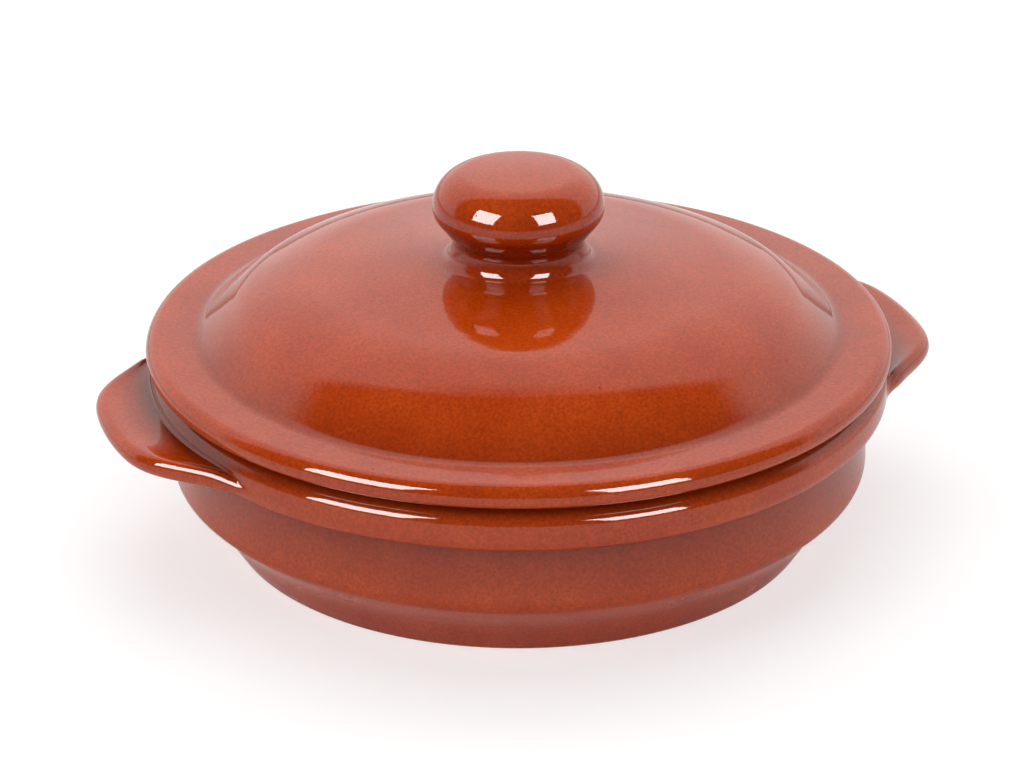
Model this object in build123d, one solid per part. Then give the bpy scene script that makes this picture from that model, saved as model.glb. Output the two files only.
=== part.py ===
from build123d import *
from math import asin, degrees, radians, tan
import os

# Lidded clay casserole: a low round bowl with two ear handles, and a domed lid with a knob.
# Millimetres. +Z is up, the bowl stands on Z = 0, and the two ears lie along X.
# The potter makes five pieces of clay: the bowl, two ears, the lid and its knob. The ears
# and the knob are luted on with slip before glazing, so each meets its seat face to face.
# The lid lies loose on the rim, and its locating ring keeps it central in the mouth.

# Bowl, outside
rim_radius = 90.0
rim_height = 44.8
bead_height = 11.2
bead_overhang = 5.2
bead_top_round = 5.4
bead_crease_round = 1.0
bead_under_flat = 0.2
belly_swell = 0.5
heel_height = 17.2
heel_round = 5.0
foot_radius = 71.2
foot_round = 1.2
ogee_hollow = 0.8

# Bowl, inside and underneath
wall_thickness = 6.8
mouth_round = 1.8
floor_thickness = 6.0
floor_corner_round = 18.0
foot_ring_width = 9.0
foot_recess = 1.6
recess_round = 0.6

# Ears
ear_length = 14.2
ear_half_width = 30.0
ear_tip_radius = 60.0
ear_corner_round = 7.0
ear_side_flat = 0.5
ear_root_round = 9.0
ear_root_turn = 50.0
ear_drop = 4.8
ear_thickness = 5.4
ear_dish = 0.6
ear_root_rise = 1.8
ear_under_slope = 0.6
ear_edge_flat = 0.6
ear_bury = 10.0

# Lid
flange_overhang = 0.8
flange_thickness = 5.9
flange_top_round = 3.1
flange_edge_flat = 0.2
flange_land = 13.2
dome_base_round = 4.0
dome_shoulder_run = 15.9
dome_shoulder_rise = 11.75
dome_turn_run = 15.7
dome_turn_rise = 4.0
dome_height = 17.8
crown_bulge = 0.1
lid_wall = 5.6
locating_ring_depth = 6.0
locating_ring_width = 4.4
locating_ring_round = 1.6
lid_clearance = 1.0
seat_gap = 0.3

# Knob, and the sloping collar on the crown of the lid that it is luted to
neck_radius = 15.9
collar_spread = 7.1
collar_height = 4.8
collar_foot_round = 10.0
neck_height = 1.2
neck_round = 1.0
knob_radius = 20.8
knob_flare = 6.2
knob_underside_round = 4.0
knob_side_height = 9.9
knob_side_flat = 0.9
knob_crown_rise = 1.2

# Sizes that follow from the ones above
shoulder_radius = rim_radius - bead_overhang
belly_radius = shoulder_radius + belly_swell
bead_bottom = rim_height - bead_height
bead_bottom_round = bead_overhang - bead_crease_round - bead_under_flat
inner_radius = shoulder_radius - wall_thickness
floor_top = foot_recess + floor_thickness
ear_edge_round = (ear_thickness - ear_edge_flat) / 2
flange_radius = rim_radius + flange_overhang
flange_bottom = rim_height + seat_gap
flange_top = flange_bottom + flange_thickness
flange_bottom_round = flange_thickness - flange_top_round - flange_edge_flat
dome_base_radius = flange_radius - flange_land
dome_shoulder_radius = dome_base_radius - dome_shoulder_run
dome_turn_radius = dome_shoulder_radius - dome_turn_run
collar_foot_radius = neck_radius + collar_spread
crown_height = flange_top + dome_height
collar_top = crown_height + collar_height
knob_crown_round = knob_side_height - knob_side_flat
ring_radius = inner_radius - lid_clearance
ring_bottom = flange_bottom - locating_ring_depth


def turned(outline, rounds):
    """Turn a closed outline of radius and height about Z, after rounding its named corners."""
    section = make_face(outline)
    for corner, radius in rounds:
        section = fillet(section.vertices().sort_by_distance(Vector(*corner))[0], radius)
    return revolve(Plane.YZ * section, axis=Axis.Z)


def parallel_arc(arc, distance):
    """An arc about the same centre, its radius smaller by the distance."""
    centre = arc.arc_center
    share = 1 - distance / arc.radius
    return ThreePointArc(*[centre + (arc @ place - centre) * share for place in (0, 0.5, 1)])


def make_bowl():
    """The thrown bowl: foot ring, ogee heel, upright wall and a half-round bead at the rim."""
    foot_inner = foot_radius - foot_ring_width
    under_corner = (foot_inner, foot_recess)
    foot_inner_corner = (foot_inner, 0)
    foot_corner = (foot_radius, 0)
    heel_corner = (belly_radius, heel_height)
    crease = (shoulder_radius, bead_bottom)
    bead_low = (rim_radius, bead_bottom)
    bead_high = (rim_radius, rim_height)
    mouth_corner = (inner_radius, rim_height)
    floor_corner = (inner_radius, floor_top)
    outline = [
        Polyline((0, floor_top), (0, foot_recess), under_corner, foot_inner_corner, foot_corner),
        SagittaArc(foot_corner, heel_corner, ogee_hollow),
        Polyline(heel_corner, crease, bead_low, bead_high, mouth_corner, floor_corner, (0, floor_top)),
    ]
    rounds = [
        (under_corner, recess_round),
        (foot_inner_corner, recess_round),
        (foot_corner, foot_round),
        (heel_corner, heel_round),
        (crease, bead_crease_round),
        (bead_low, bead_bottom_round),
        (bead_high, bead_top_round),
        (mouth_corner, mouth_round),
        (floor_corner, floor_corner_round),
    ]
    return turned(outline, rounds)


def dome_arcs():
    """The outside of the dome in section: the flat crown, the turn, then the steep shoulder."""
    shoulder_height = flange_top + dome_shoulder_rise
    crown_start = (collar_foot_radius, crown_height)
    turn_start = (dome_turn_radius, shoulder_height + dome_turn_rise)
    shoulder = (dome_shoulder_radius, shoulder_height)
    crown = SagittaArc(crown_start, turn_start, crown_bulge)
    turn = TangentArc(turn_start, shoulder, tangent=crown % 1)
    steep = TangentArc(shoulder, (dome_base_radius, flange_top), tangent=turn % 1)
    return crown, turn, steep


def make_lid():
    """The thrown lid: domed, with a flat flange, a locating ring and a collar for the knob."""
    crown, turn, steep = dome_arcs()
    inner_crown, inner_turn, inner_steep = [parallel_arc(arc, lid_wall) for arc in (crown, turn, steep)]
    top = inner_crown @ 0
    inward = -(inner_crown % 0)
    peak = (0, top.Y + top.X * tan(inward.get_angle(Vector(-1, 0)) * radians(1) / 2))
    ring_inner = ring_radius - locating_ring_width
    dome_base = (dome_base_radius, flange_top)
    collar_foot = (collar_foot_radius, crown_height)
    flange_high = (flange_radius, flange_top)
    flange_low = (flange_radius, flange_bottom)
    ring_root = (ring_radius, flange_bottom)
    ring_low = (ring_radius, ring_bottom)
    ring_low_inner = (ring_inner, ring_bottom)
    outline = [
        Polyline(peak, (0, collar_top), (neck_radius, collar_top), collar_foot),
        crown,
        turn,
        steep,
        Polyline(dome_base, flange_high, flange_low, ring_root, ring_low, ring_low_inner),
        Line(ring_low_inner, inner_steep @ 1),
        inner_steep,
        inner_turn,
        inner_crown,
        TangentArc(top, peak, tangent=inward),
    ]
    rounds = [
        (collar_foot, collar_foot_round),
        (dome_base, dome_base_round),
        (flange_high, flange_top_round),
        (flange_low, flange_bottom_round),
        (ring_low, locating_ring_round),
        (ring_low_inner, locating_ring_round),
    ]
    return turned(outline, rounds)


def make_knob():
    """The solid knob: a short neck that flares to a broad head with a low crown."""
    flare_foot = (neck_radius, collar_top + neck_height)
    flare_top = (knob_radius, collar_top + neck_height + knob_flare)
    side_top = (knob_radius, collar_top + neck_height + knob_flare + knob_side_height)
    peak = (0, collar_top + neck_height + knob_flare + knob_side_height + knob_crown_rise)
    outline = [
        Polyline(peak, (0, collar_top), (neck_radius, collar_top), flare_foot, flare_top, side_top),
        TangentArc(peak, side_top, tangent=(1, 0)),
    ]
    rounds = [
        (flare_foot, neck_round),
        (flare_top, knob_underside_round),
        (side_top, knob_crown_round),
    ]
    return turned(outline, rounds)


def ear_plan():
    """The ear from above: a broad round tip and sides that flare out into the rim."""
    reach = rim_radius + ear_length
    root = rim_radius - ear_bury
    corner_centre_y = ear_half_width - ear_corner_round
    tip_turn = degrees(asin(corner_centre_y / (ear_tip_radius - ear_corner_round)))
    tip = JernArc((reach, 0), (0, 1), ear_tip_radius, tip_turn)
    corner = JernArc(tip @ 1, tip % 1, ear_corner_round, 90 - tip_turn)
    side = Line(corner @ 1, corner @ 1 - (ear_side_flat, 0))
    flare = JernArc(side @ 1, (-1, 0), ear_root_round, -ear_root_turn)
    flare_end = flare @ 1
    buried = (root, flare_end.Y + (flare_end.X - root) * tan(radians(ear_root_turn)))
    half = make_face([tip, corner, side, flare, Polyline(flare_end, buried, (root, 0), (reach, 0))])
    return half + mirror(half, about=Plane.XZ)


def make_ear(bowl):
    """The ear at +X: a pressed tab with a dished top, cut to the bead that it is luted to."""
    start = rim_radius - ear_bury
    reach = rim_radius + ear_length
    middle = (rim_radius + reach) / 2
    lip = rim_height - ear_drop
    top_root = (start, lip + ear_root_rise)
    top_tip = (reach, lip)
    under_tip = (reach, lip - ear_thickness)
    under_root = (start, lip - ear_thickness - ear_under_slope)
    section = make_face([
        ThreePointArc(top_root, (middle, lip - ear_dish), top_tip),
        Polyline(top_tip, under_tip, under_root, top_root),
    ])
    slab = extrude(Plane.XZ * section, amount=rim_radius, both=True)
    ear = slab & extrude(ear_plan(), amount=rim_height)
    faces = ear.faces().sort_by(Axis.Z)
    rims = [edge for face in (faces[0], faces[-1]) for edge in face.edges().sort_by(Axis.X)[1:]]
    return (fillet(rims, ear_edge_round) - bowl).solid()


bowl = make_bowl()
handle_right = make_ear(bowl)
handle_left = Rot(0, 0, 180) * handle_right
lid = make_lid()
knob = make_knob()

os.makedirs("parts", exist_ok=True)
export_step(bowl, "parts/bowl.step")
export_step(handle_right, "parts/handle_right.step")
export_step(handle_left, "parts/handle_left.step")
export_step(lid, "parts/lid.step")
export_step(knob, "parts/knob.step")
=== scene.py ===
import math

import bpy
from mathutils import Matrix, Vector


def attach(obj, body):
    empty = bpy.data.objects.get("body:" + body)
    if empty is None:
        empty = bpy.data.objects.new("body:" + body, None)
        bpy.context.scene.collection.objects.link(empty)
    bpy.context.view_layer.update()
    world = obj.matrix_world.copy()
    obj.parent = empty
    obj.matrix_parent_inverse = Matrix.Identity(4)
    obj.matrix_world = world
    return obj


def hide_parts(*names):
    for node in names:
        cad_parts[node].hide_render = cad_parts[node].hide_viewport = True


# A lidded clay casserole on a pale floor in soft studio light. The frame is in metres. The
# sizes of the pot are written in millimetres, and those of the studio in metres.

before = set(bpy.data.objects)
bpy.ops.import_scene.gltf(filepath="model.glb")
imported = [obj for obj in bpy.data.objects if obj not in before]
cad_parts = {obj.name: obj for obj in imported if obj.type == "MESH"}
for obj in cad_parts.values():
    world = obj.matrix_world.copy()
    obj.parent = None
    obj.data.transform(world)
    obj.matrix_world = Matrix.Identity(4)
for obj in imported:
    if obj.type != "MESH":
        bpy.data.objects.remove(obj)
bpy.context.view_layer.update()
MM = 0.001

# The photograph looks down 24.6 degrees at the pot, whose ears are turned 19 degrees from it.
CAMERA_TURN = math.radians(-19.0)
CAMERA_RISE = math.radians(24.6)
CAMERA_ROLL = math.radians(-0.18)
CAMERA_DISTANCE = 1.009
CAMERA_AIM = (-0.0017, 0.0, 0.0354)
CAMERA_LENS = 144.56


def from_camera(right, towards, up):
    """A place given by what is right of, towards and above, as the camera sees it."""
    side = Vector((math.cos(CAMERA_TURN), math.sin(CAMERA_TURN), 0))
    front = Vector((math.sin(CAMERA_TURN), -math.cos(CAMERA_TURN), 0))
    return side * right + front * towards + Vector((0, 0, up))


def aimed(place, target):
    """The matrix of a lamp or camera at a place that looks at a target."""
    turn = (target - place).to_track_quat("-Z", "Y").to_matrix().to_4x4()
    return Matrix.Translation(place) @ turn


def make_camera():
    aim = from_camera(*CAMERA_AIM)
    rise = from_camera(0, math.cos(CAMERA_RISE), math.sin(CAMERA_RISE))
    camera = bpy.data.objects.new("camera", bpy.data.cameras.new("camera"))
    bpy.context.scene.collection.objects.link(camera)
    camera.matrix_world = aimed(aim + rise * CAMERA_DISTANCE, aim) @ Matrix.Rotation(CAMERA_ROLL, 4, "Z")
    camera.data.sensor_width = 36
    camera.data.lens = CAMERA_LENS
    camera.data.clip_end = 50
    bpy.context.scene.camera = camera


make_camera()


# Throwing on the wheel: the longest straight step along a rounded corner, the fewest steps
# and the widest turn that a step may take, the steps round the pot, and how near is welded
CORNER_STEP = 0.9
FINE_STEP = 0.3
FEWEST_STEPS = 3
WIDEST_TURN = math.radians(9)
WHEEL_STEPS = 360
WELD = 0.002


def deselected():
    if bpy.context.object and bpy.context.object.mode != "OBJECT":
        bpy.ops.object.mode_set(mode="OBJECT")
    bpy.ops.object.select_all(action="DESELECT")


def smoothstep(value):
    value = min(max(value, 0.0), 1.0)
    return value * value * (3 - 2 * value)


def polar(vertex):
    """A vertex's radius from the wheel's axis and its X, Y and Z, in millimetres."""
    x, y, z = (value / MM for value in vertex.co)
    return math.hypot(x, y), x, y, z


def rounded(corners):
    """The points of a section whose corners (radius, height, round) are rounded by arcs.

    A fourth number gives a corner a finer step than the rest.
    """
    points = []
    for index, (x, z, radius, *finer) in enumerate(corners):
        here = Vector((x, z))
        if not radius:
            points.append(here)
            continue
        step_length = finer[0] if finer else CORNER_STEP
        back = (Vector(corners[index - 1][:2]) - here).normalized()
        ahead = (Vector(corners[index + 1][:2]) - here).normalized()
        opening = back.angle(ahead)
        reach = radius / math.tan(opening / 2)
        centre = here + (back + ahead).normalized() * (radius / math.sin(opening / 2))
        first = here + back * reach - centre
        last = here + ahead * reach - centre
        turn = first.angle_signed(last)
        count = max(FEWEST_STEPS, math.ceil(abs(turn) * radius / step_length),
                    math.ceil(abs(turn) / WIDEST_TURN))
        for step in range(count + 1):
            points.append(centre + Matrix.Rotation(-turn * step / count, 2) @ first)
    return points


def turned(name, corners):
    """A piece thrown on the wheel: its section is drawn out point by point, then spun."""
    deselected()
    # Three points merged into one, which the section is drawn out from
    bpy.ops.mesh.primitive_circle_add(vertices=3, radius=MM)
    piece = bpy.context.object
    piece.name = name
    piece.data.name = name
    bpy.ops.object.mode_set(mode="EDIT")
    bpy.ops.mesh.select_all(action="SELECT")
    bpy.ops.mesh.merge(type="CENTER")
    place = Vector((0, 0, 0))
    for index, point in enumerate(rounded(corners)):
        target = Vector((point.x, 0, point.y)) * MM
        move = {"value": target - place}
        if index == 0:
            bpy.ops.transform.translate(**move)
        else:
            bpy.ops.mesh.extrude_region_move(TRANSFORM_OT_translate=move)
        place = target
    bpy.ops.mesh.select_all(action="SELECT")
    bpy.ops.mesh.spin(steps=WHEEL_STEPS, angle=2 * math.pi, center=(0, 0, 0), axis=(0, 0, 1))
    bpy.ops.mesh.select_all(action="SELECT")
    bpy.ops.mesh.remove_doubles(threshold=WELD * MM)
    bpy.ops.mesh.normals_make_consistent(inside=False)
    bpy.ops.object.mode_set(mode="OBJECT")
    return piece


# The ears, drawn out of the rim bead: the bead from its root outwards, between these heights,
# becomes a tab with this underside and top
BEAD_ROOT = 85.0
EAR_LOW = 34.3
EAR_HIGH = 40.7
EAR_UNDER = 34.7
EAR_TOP = 40.1
# How far the ear stands out, where its sides turn in, how squarely, and where they have faded
EAR_LENGTH = 14.2
EAR_SHOULDER = 29.5
EAR_SQUARENESS = 6.0
EAR_HALF_WIDTH = 42
EAR_FADE = 8
# The share of the bead that makes the round edge, and the reach at which the ear has its full form
EAR_TIP_SHARE = 0.4
EAR_FORMED = 5.0
# The spread of the root, the dish of the top, and how the edge turns up and thins
EAR_ROOT_SPREAD = 0.7
EAR_DISH = 0.5
EAR_UPTURN = 1.1
EAR_THINNING = 0.5


def draw_out_ears(piece):
    """Pulls the bead out into an ear at each end, smeared into the rim as wet clay is."""
    half = (EAR_TOP - EAR_UNDER) / 2
    middle = (EAR_TOP + EAR_UNDER) / 2
    for vertex in piece.data.vertices:
        radius, x, y, z = polar(vertex)
        if radius < BEAD_ROOT or not EAR_LOW < z < EAR_HIGH or abs(y) > EAR_HALF_WIDTH:
            continue
        swell = EAR_LENGTH / (1 + (abs(y) / EAR_SHOULDER) ** EAR_SQUARENESS)
        swell *= smoothstep((EAR_HALF_WIDTH - abs(y)) / EAR_FADE)
        # From -1 at the bottom of the band to 1 at its top
        side = ((z - EAR_LOW) / (EAR_HIGH - EAR_LOW) - 0.5) / 0.5
        if abs(side) < EAR_TIP_SHARE:
            # The rounded edge of the ear
            angle = side / EAR_TIP_SHARE * math.pi / 2
            run = 1
            along = swell - half * (1 - math.cos(angle)) * min(1, swell / half)
            height = middle + half * math.sin(angle)
        else:
            # The flat of the ear, from 0 at the rim to 1 at the edge
            run = 1 - (abs(side) - EAR_TIP_SHARE) / (1 - EAR_TIP_SHARE)
            along = (swell - half * min(1, swell / half)) * run
            height = middle + half * math.copysign(1, side)
            height += math.copysign(EAR_ROOT_SPREAD, side) * (1 - run) ** 3
            height -= EAR_DISH * math.sin(run * math.pi) if side > 0 else 0
        height += (EAR_UPTURN - EAR_THINNING * side) * run
        vertex.co.x += along * math.copysign(1, x) * MM
        vertex.co.z += (height - z) * smoothstep(swell / EAR_FORMED) * MM


# The unevenness: its depth and span, how soon it starts above the foot, and the part of the
# seat, outside this radius and this near to where lid and rim meet, that is kept true
UNEVEN_DEPTH = 0.5
UNEVEN_SPAN = 55
FOOT_FADE = 4
SEAT_RADIUS = 68
SEAT_HEIGHT = 45.0
SEAT_KEPT = 1.0
SEAT_FADE = 2.5


def free_of_seat(piece):
    """Keeps the unevenness off the foot and where lid and rim meet."""
    group = piece.vertex_groups.new(name="free")
    for vertex in piece.data.vertices:
        radius, x, y, z = polar(vertex)
        weight = smoothstep(z / FOOT_FADE)
        if radius > SEAT_RADIUS:
            weight *= smoothstep((abs(z - SEAT_HEIGHT) - SEAT_KEPT) / SEAT_FADE)
        group.add([vertex.index], weight, "REPLACE")
    return group.name


def made_by_hand(piece):
    """The slow unevenness that the potter's hands leave."""
    texture = bpy.data.textures.new("hand_made", "CLOUDS")
    texture.noise_scale = UNEVEN_SPAN * MM
    texture.noise_depth = 1
    modifier = piece.modifiers.new("hand_made", "DISPLACE")
    modifier.texture = texture
    modifier.texture_coords = "LOCAL"
    modifier.strength = UNEVEN_DEPTH * MM
    modifier.mid_level = 0.5
    modifier.vertex_group = free_of_seat(piece)
    bpy.context.view_layer.objects.active = piece
    bpy.ops.object.modifier_apply(modifier="hand_made")
    bpy.data.textures.remove(texture)


def smoothed(piece):
    deselected()
    piece.select_set(True)
    bpy.context.view_layer.objects.active = piece
    bpy.ops.object.shade_smooth()


# Painted shade in the hollows and under the knob and lid, partly glaze that ran together there: radius,
# height, reach and strength of each
GLAZE_AND_SHADE_POOLS = {
    "under_the_knob": (18.0, 77.2, 5.2, 1.0),
    "collar": (17.2, 71.5, 2.6, 0.15),
    "foot_of_the_dome": (77.6, 51.4, 2.4, 0.35),
    "under_the_bead": (85.2, 33.4, 2.2, 0.6),
    "under_the_cover": (88.5, 45.0, 1.6, 0.8),
    "rim": (88.4, 44.6, 1.8, 0.7),
}
# The same along the root of each ear, on its top, fading out past its sides: painted shade and a painted
# reflection of the lid's dark edge
EAR_SHADE_START = 88
EAR_SHADE_LOW = 38.5
EAR_SHADE_HIGH = 44
EAR_SHADE_RADIUS = 91.0
EAR_SHADE_REACH = 3.6
EAR_SHADE_STRENGTH = 0.75
EAR_SHADE_HALF_WIDTH = 44
EAR_SHADE_FADE = 14


def paint_glaze_pools_and_shade(piece):
    """Darkens where the glaze is thick and where shade falls: painted shade in the hollows, and painted
    shade and reflection where the ears meet the rim.
    """
    glaze_and_shade = []
    for vertex in piece.data.vertices:
        radius, x, y, z = polar(vertex)
        here = [
            strength * math.exp(-((radius - across) ** 2 + (z - up) ** 2) / reach ** 2)
            for across, up, reach, strength in GLAZE_AND_SHADE_POOLS.values()
        ]
        beside = EAR_SHADE_HALF_WIDTH - abs(y)
        if beside > 0 and EAR_SHADE_LOW < z < EAR_SHADE_HIGH and radius > EAR_SHADE_START:
            offset = (radius - EAR_SHADE_RADIUS) / EAR_SHADE_REACH
            here.append(EAR_SHADE_STRENGTH * math.exp(-offset ** 2) * smoothstep(beside / EAR_SHADE_FADE))
        glaze_and_shade.append(max(here))
    # The painted shade and glaze pools are kept per point for the glaze's colour
    layer = piece.data.attributes.new("glaze_pool_and_shade", "FLOAT", "POINT")
    layer.data.foreach_set("value", glaze_and_shade)


# Sections from the axis round to the axis. Each corner is (radius, height, round).
# The pot: foot ring, ogee heel, upright wall, rim bead, and the round inside corner. The close
# rows up the face of the bead become the round edge of the ears.
POT_SECTION = [
    (0, 1.6, 0), (62.2, 1.6, 0.6), (62.2, 0, 0.6), (71.2, 0, 1.2),
    (77.2, 9.5, 40), (85.3, 17.2, 5.0), (84.8, 33.6, 1.1), (90.0, 33.6, 3.9, FINE_STEP),
    *[(90.0, height, 0) for height in (38.0, 38.4, 38.8, 39.2)],
    (90.0, 41.64, 2.6, FINE_STEP), (86.84, 44.8, 7.4, FINE_STEP),
    (78.0, 44.8, 1.8), (78.0, 7.6, 18), (0, 7.6, 0),
]
# The cover: knob, collar, dome, flange, locating ring and the inside of the dome
COVER_SECTION = [
    (0, 92.1, 0), (20.8, 90.9, 8.6), (20.8, 81.0, 4.2), (15.8, 74.6, 2.2),
    (17.0, 69.45, 3.2), (56.0, 65.4, 45), (66.9, 60.6, 20), (78.0, 51.0, 5.0),
    (90.8, 51.0, 3.1), (90.8, 45.1, 2.6), (77.0, 45.1, 0.8), (77.0, 39.1, 1.6), (72.6, 39.1, 1.6),
    (73.4, 47.6, 4.0), (63.6, 55.4, 16), (53.0, 59.8, 40), (17.0, 64.6, 60), (0, 65.4, 0),
]

pot = turned("glazed_pot", POT_SECTION)
draw_out_ears(pot)
cover = turned("glazed_cover", COVER_SECTION)
for piece in (pot, cover):
    made_by_hand(piece)
    smoothed(piece)
    paint_glaze_pools_and_shade(piece)


# Materials

def linear(code):
    """The linear colour of an sRGB hex code."""
    parts = [int(code[place:place + 2], 16) / 255 for place in (1, 3, 5)]
    return [part / 12.92 if part <= 0.04045 else ((part + 0.055) / 1.055) ** 2.4 for part in parts] + [1]


def add(tree, kind, settings=None, **links):
    """Adds a node with its settings and links.

    A setting is an input or a property of the node, and a link's name is an input, with _ for
    a space. An input that has no name of its own is called "n 0", "n 1" and so on.
    """
    node = tree.nodes.new(kind)
    for name, value in (settings or {}).items():
        if name.startswith("n "):
            node.inputs[int(name[2:])].default_value = value
        elif name in node.inputs:
            node.inputs[name].default_value = value
        else:
            setattr(node, name, value)
    for name, source in links.items():
        name = name.replace("_", " ")
        socket = node.inputs[int(name[2:])] if name.startswith("n ") else node.inputs[name]
        tree.links.new(source, socket)
    return node


def emptied(block):
    """The node tree of a new material or world, with nothing in it yet."""
    block.use_nodes = True
    block.node_tree.nodes.clear()
    return block.node_tree


def glazed_earthenware():
    """Red earthenware under a clear honey glaze, dipped and fired once.

    The eye sees a wet gloss over a warm orange-brown, fine dark grain of the clay through it,
    a cloudy change of depth where the glaze ran thick or thin, dark pools of it in the hollows that
    also carry painted shade, with a painted reflection at the ears' roots, and a few pinholes. The gloss
    ripples a little, and follows the rings of throwing.
    """
    material = bpy.data.materials.new("honey_glazed_red_earthenware")
    tree = emptied(material)
    place = add(tree, "ShaderNodeTexCoord").outputs["Object"]

    # Glaze that ran thick and thin, over 10 to 20 mm
    cloud = add(tree, "ShaderNodeTexNoise", {"Scale": 60, "Detail": 2, "Roughness": 0.5}, Vector=place)
    depth = add(tree, "ShaderNodeMapRange", {"From Min": 0.3, "From Max": 0.7},
                Value=cloud.outputs["Fac"])
    body = add(tree, "ShaderNodeMix", {"data_type": "RGBA"}, Factor=depth.outputs["Result"])
    body.inputs["A"].default_value = linear("#B23B08")
    body.inputs["B"].default_value = linear("#BE450E")
    # Painted shade in the hollows and under the knob and lid, and a painted reflection at the ears'
    # roots, partly glaze that ran together there: dark brown
    glaze_and_shade = add(tree, "ShaderNodeAttribute", {"attribute_name": "glaze_pool_and_shade"})
    pooled_and_shaded = add(tree, "ShaderNodeMix", {"data_type": "RGBA"}, Factor=glaze_and_shade.outputs["Fac"],
                 A=body.outputs["Result"])
    pooled_and_shaded.inputs["B"].default_value = linear("#4E1303")
    # Dark and light grains of the clay, 0.3 to 1 mm
    grain = add(tree, "ShaderNodeTexNoise", {"Scale": 1300, "Detail": 3, "Roughness": 0.65}, Vector=place)
    speck = add(tree, "ShaderNodeMapRange", {"From Min": 0.35, "From Max": 0.65, "To Min": 0.76,
                "To Max": 1.14}, Value=grain.outputs["Fac"])
    # Pinholes in the glaze, 0.5 mm, few and far between
    cells = add(tree, "ShaderNodeTexVoronoi", {"Scale": 400}, Vector=place)
    chance = add(tree, "ShaderNodeSeparateColor", {}, Color=cells.outputs["Color"])
    whole = add(tree, "ShaderNodeMath", {"operation": "GREATER_THAN", "n 1": 0.035},
                n_0=chance.outputs["Red"])
    hole = add(tree, "ShaderNodeMapRange", {"From Min": 0.08, "From Max": 0.15, "To Min": 0.3},
               Value=cells.outputs["Distance"])
    pinhole = add(tree, "ShaderNodeMath", {"operation": "MAXIMUM"}, n_0=whole.outputs["Value"],
                  n_1=hole.outputs["Result"])
    marks = add(tree, "ShaderNodeMath", {"operation": "MULTIPLY"}, n_0=speck.outputs["Result"],
                n_1=pinhole.outputs["Value"])
    colour = add(tree, "ShaderNodeMix", {"data_type": "RGBA", "blend_type": "MULTIPLY", "Factor": 1.0},
                 A=pooled_and_shaded.outputs["Result"], B=marks.outputs["Value"])
    # Rings that the potter's fingers left, 2 to 4 mm apart
    parts = add(tree, "ShaderNodeSeparateXYZ", {}, Vector=place)
    level = add(tree, "ShaderNodeVectorMath", {"operation": "MULTIPLY", "n 1": (1, 1, 0)}, n_0=place)
    radius = add(tree, "ShaderNodeVectorMath", {"operation": "LENGTH"}, n_0=level.outputs["Vector"])
    wheel = add(tree, "ShaderNodeCombineXYZ", {}, X=radius.outputs["Value"], Z=parts.outputs["Z"])
    rings = add(tree, "ShaderNodeTexNoise", {"Scale": 330, "Detail": 1}, Vector=wheel.outputs["Vector"])
    # The skin of the glaze ripples over 6 mm, with finer dimples down to 0.5 mm
    ripple = add(tree, "ShaderNodeTexNoise", {"Scale": 160, "Detail": 4, "Roughness": 0.5}, Vector=place)
    height = add(tree, "ShaderNodeMath", {"operation": "MULTIPLY_ADD", "n 1": 0.35},
                 n_0=rings.outputs["Fac"], n_2=ripple.outputs["Fac"])
    sunk = add(tree, "ShaderNodeMath", {"operation": "ADD"}, n_0=height.outputs["Value"],
               n_1=pinhole.outputs["Value"])
    skin = add(tree, "ShaderNodeBump", {"Strength": 0.25, "Distance": 0.0001},
               Height=sunk.outputs["Value"])
    # All the gloss is the clear glaze, so the clay under it has none
    shader = add(tree, "ShaderNodeBsdfPrincipled", {
        "Roughness": 0.5, "IOR": 1.5, "Coat Weight": 1.0, "Coat Roughness": 0.05, "Coat IOR": 1.5,
        "Specular IOR Level": 0.0,
    }, Base_Color=colour.outputs["Result"], Coat_Normal=skin.outputs["Normal"])
    add(tree, "ShaderNodeOutputMaterial", {}, Surface=shader.outputs["BSDF"])
    return material


def bare_earthenware():
    """Unglazed fired clay under the foot, where the pot stood on the kiln shelf: dry and paler."""
    material = bpy.data.materials.new("bare_red_earthenware")
    tree = emptied(material)
    place = add(tree, "ShaderNodeTexCoord").outputs["Object"]
    # Sandy grain, 1 mm
    sand = add(tree, "ShaderNodeTexNoise", {"Scale": 1000, "Detail": 3}, Vector=place)
    body = add(tree, "ShaderNodeMix", {"data_type": "RGBA"}, Factor=sand.outputs["Fac"])
    body.inputs["A"].default_value = linear("#A8593A")
    body.inputs["B"].default_value = linear("#C27A55")
    rough = add(tree, "ShaderNodeBump", {"Strength": 0.4, "Distance": 0.0002}, Height=sand.outputs["Fac"])
    shader = add(tree, "ShaderNodeBsdfPrincipled", {"Roughness": 0.85},
                 Base_Color=body.outputs["Result"], Normal=rough.outputs["Normal"])
    add(tree, "ShaderNodeOutputMaterial", {}, Surface=shader.outputs["BSDF"])
    return material


# Faces of the underside below this height are bare
GLAZE_LINE = 1.8

glaze = glazed_earthenware()
bare = bare_earthenware()
for piece, body, slot, nodes in (
    (pot, "pot", "glazed_clay_bowl", ("bowl", "handle_left", "handle_right")),
    (cover, "cover", "glazed_clay_lid", ("lid", "knob")),
):
    piece.data.materials.clear()
    piece.data.materials.append(glaze)
    piece.data.materials.append(bare)
    for face in piece.data.polygons:
        face.material_index = 1 if face.center.z < GLAZE_LINE * MM and face.normal.z < -0.5 else 0
    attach(piece, body)
    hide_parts(*nodes)


# Floor and light, in metres

FLOOR_SIZE = 12
# Softboxes: how far round from the camera and up, in degrees, how far away, and their size
SOFTBOXES = {"left": (-50, 30, 1.10, (0.60, 0.66)), "right": (39, 30, 1.15, (0.50, 0.66))}
OVERHEAD = (180, 80, 1.3, (1.1, 1.1))
LIT_PLACE = Vector((0, 0, 0.05))
SOFTBOX_LEVEL = 2.9
OVERHEAD_LEVEL = 2.1
# How bright the softboxes' faces are in the glaze, the tilt of the line between the white
# paper and the front of the room, and how bright each of those two is
GLEAM = 18.0
FRONT_TILT = 0.287
PAPER_LEVEL = 1.1
ROOM_LEVEL = 0.08


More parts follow.
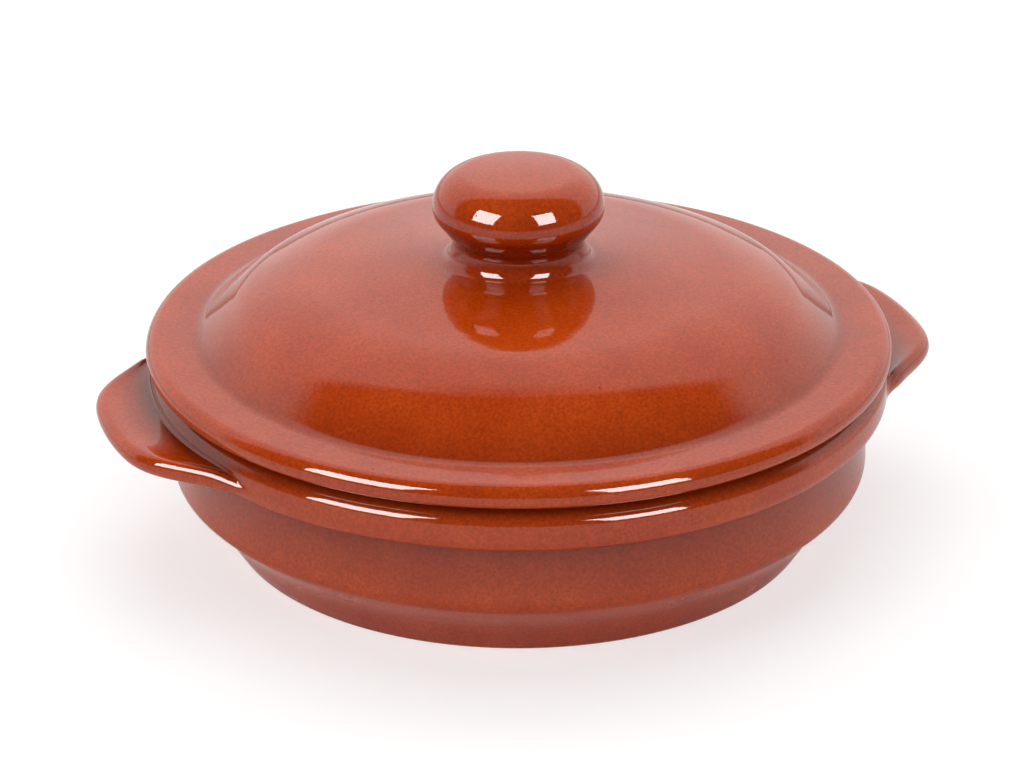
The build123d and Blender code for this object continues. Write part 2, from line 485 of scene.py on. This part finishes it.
def pale_floor():
    """A white sweep that shows as white, and keeps the pot's shadow."""
    material = bpy.data.materials.new("white_paper_sweep")
    tree = emptied(material)
    place = add(tree, "ShaderNodeTexCoord").outputs["Object"]
    # Paper fibre, 2 mm
    fibre = add(tree, "ShaderNodeTexNoise", {"Scale": 400, "Detail": 3}, Vector=place)
    tone = add(tree, "ShaderNodeMapRange", {"To Min": 0.86, "To Max": 0.90}, Value=fibre.outputs["Fac"])
    paper = add(tree, "ShaderNodeBsdfDiffuse", {}, Color=tone.outputs["Result"])
    # Half of what the camera sees is white of itself, so that the sweep isn't grey
    shown = add(tree, "ShaderNodeEmission", {"Color": (1, 1, 1, 1), "Strength": 1.25})
    ray = add(tree, "ShaderNodeLightPath").outputs["Is Camera Ray"]
    share = add(tree, "ShaderNodeMath", {"operation": "MULTIPLY", "n 1": 0.5}, n_0=ray)
    mixed = add(tree, "ShaderNodeMixShader", {}, n_0=share.outputs["Value"], n_1=paper.outputs["BSDF"],
                n_2=shown.outputs["Emission"])
    add(tree, "ShaderNodeOutputMaterial", {}, Surface=mixed.outputs["Shader"])
    return material


deselected()
bpy.ops.mesh.primitive_plane_add(size=FLOOR_SIZE)
floor = bpy.context.object
floor.name = "floor"
floor.data.materials.append(pale_floor())


def bearing(azimuth, rise):
    """The direction so many degrees round from the camera and up."""
    azimuth, rise = math.radians(azimuth), math.radians(rise)
    level = math.cos(rise)
    return from_camera(level * math.sin(azimuth), level * math.cos(azimuth), math.sin(rise))


def softbox(name, level, azimuth, rise, distance, size):
    """The soft light that a softbox sheds. Its face is in the studio that the glaze mirrors."""
    lamp = bpy.data.lights.new("softbox_" + name, "AREA")
    lamp.shape = "RECTANGLE"
    lamp.size, lamp.size_y = size
    lamp.energy = level * math.pi * size[0] * size[1]
    holder = bpy.data.objects.new("softbox_" + name, lamp)
    bpy.context.scene.collection.objects.link(holder)
    holder.matrix_world = aimed(LIT_PLACE + distance * bearing(azimuth, rise), LIT_PLACE)
    holder.visible_glossy = False


def studio():
    """White paper behind and overhead, the darker front of the room, and the softboxes' faces."""
    world = bpy.data.worlds.new("studio")
    bpy.context.scene.world = world
    tree = emptied(world)
    way = add(tree, "ShaderNodeTexCoord").outputs["Generated"]
    ray = add(tree, "ShaderNodeLightPath").outputs
    front = add(tree, "ShaderNodeVectorMath", {"operation": "DOT_PRODUCT",
                "n 1": from_camera(0, 1, FRONT_TILT).normalized()}, n_0=way).outputs["Value"]
    level = add(tree, "ShaderNodeMapRange", {
        "interpolation_type": "SMOOTHSTEP", "From Min": -0.14, "From Max": 0.06,
        "To Min": PAPER_LEVEL, "To Max": ROOM_LEVEL,
    }, Value=front).outputs["Result"]
    for azimuth, rise, distance, size in SOFTBOXES.values():
        ahead = bearing(azimuth, rise)
        across = bearing(azimuth + 90, 0)
        depth = add(tree, "ShaderNodeVectorMath", {"operation": "DOT_PRODUCT", "n 1": ahead}, n_0=way)
        face = add(tree, "ShaderNodeMath", {"operation": "GREATER_THAN", "n 1": 0},
                   n_0=depth.outputs["Value"])
        for axis, width in ((across, size[0]), (across.cross(ahead).normalized(), size[1])):
            aside = add(tree, "ShaderNodeVectorMath", {"operation": "DOT_PRODUCT", "n 1": axis}, n_0=way)
            slope = add(tree, "ShaderNodeMath", {"operation": "DIVIDE"}, n_0=aside.outputs["Value"],
                        n_1=depth.outputs["Value"])
            off = add(tree, "ShaderNodeMath", {"operation": "ABSOLUTE"}, n_0=slope.outputs["Value"])
            inside = add(tree, "ShaderNodeMath", {"operation": "LESS_THAN", "n 1": width / 2 / distance},
                         n_0=off.outputs["Value"])
            face = add(tree, "ShaderNodeMath", {"operation": "MULTIPLY"}, n_0=face.outputs["Value"],
                       n_1=inside.outputs["Value"])
        seen = add(tree, "ShaderNodeMath", {"operation": "MULTIPLY"}, n_0=face.outputs["Value"],
                   n_1=ray["Is Glossy Ray"])
        level = add(tree, "ShaderNodeMath", {"operation": "MULTIPLY_ADD", "n 1": GLEAM},
                    n_0=seen.outputs["Value"], n_2=level).outputs["Value"]
    level = add(tree, "ShaderNodeMath", {"operation": "MAXIMUM"}, n_0=level, n_1=ray["Is Camera Ray"])
    air = add(tree, "ShaderNodeBackground", {"Strength": 1.0}, Color=level.outputs["Value"])
    add(tree, "ShaderNodeOutputWorld", {}, Surface=air.outputs["Background"])


for name, place in SOFTBOXES.items():
    softbox(name, SOFTBOX_LEVEL, *place)
softbox("overhead", OVERHEAD_LEVEL, *OVERHEAD)
studio()
bpy.context.scene.view_settings.view_transform = "Standard"
